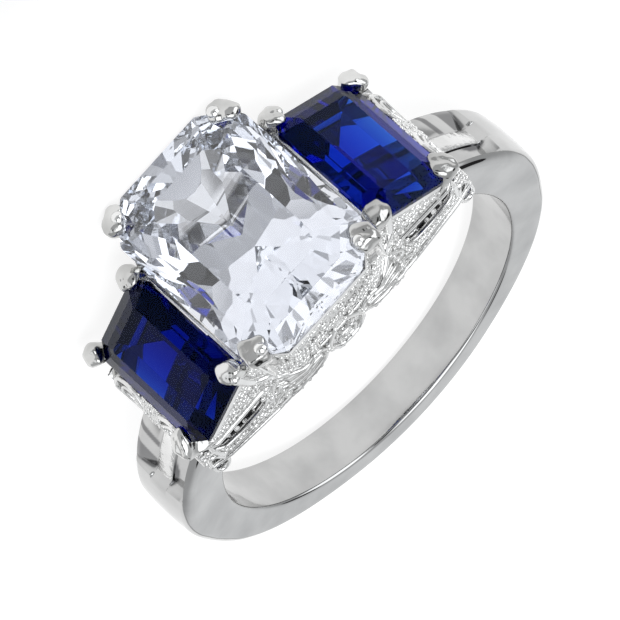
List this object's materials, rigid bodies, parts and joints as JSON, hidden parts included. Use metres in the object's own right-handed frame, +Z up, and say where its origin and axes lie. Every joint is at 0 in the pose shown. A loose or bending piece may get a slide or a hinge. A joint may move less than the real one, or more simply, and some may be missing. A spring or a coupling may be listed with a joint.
{
  "type": "three stone ring",
  "caption": "Finger ring with a cut-corner clear center stone between two blue step-cut side stones, in claws over a pierced gallery, resting on its side.",
  "frame": {"origin": "middle of the finger hole, on its axis", "axes": "+X across the finger, +Y from the head to the back of the finger, +Z up from the surface that the ring lies on; the finger hole's axis leans from +Z towards +Y"},
  "size_m": [0.0214, 0.0269, 0.0097],
  "materials": {
    "metal": "polished",
    "clear_stone": "polished",
    "blue_stone": "polished"
  },
  "bodies": {
    "root": {"ring_mount": "metal", "center_stone": "clear_stone", "left_stone": "blue_stone", "right_stone": "blue_stone"}
  },
  "joints": []
}
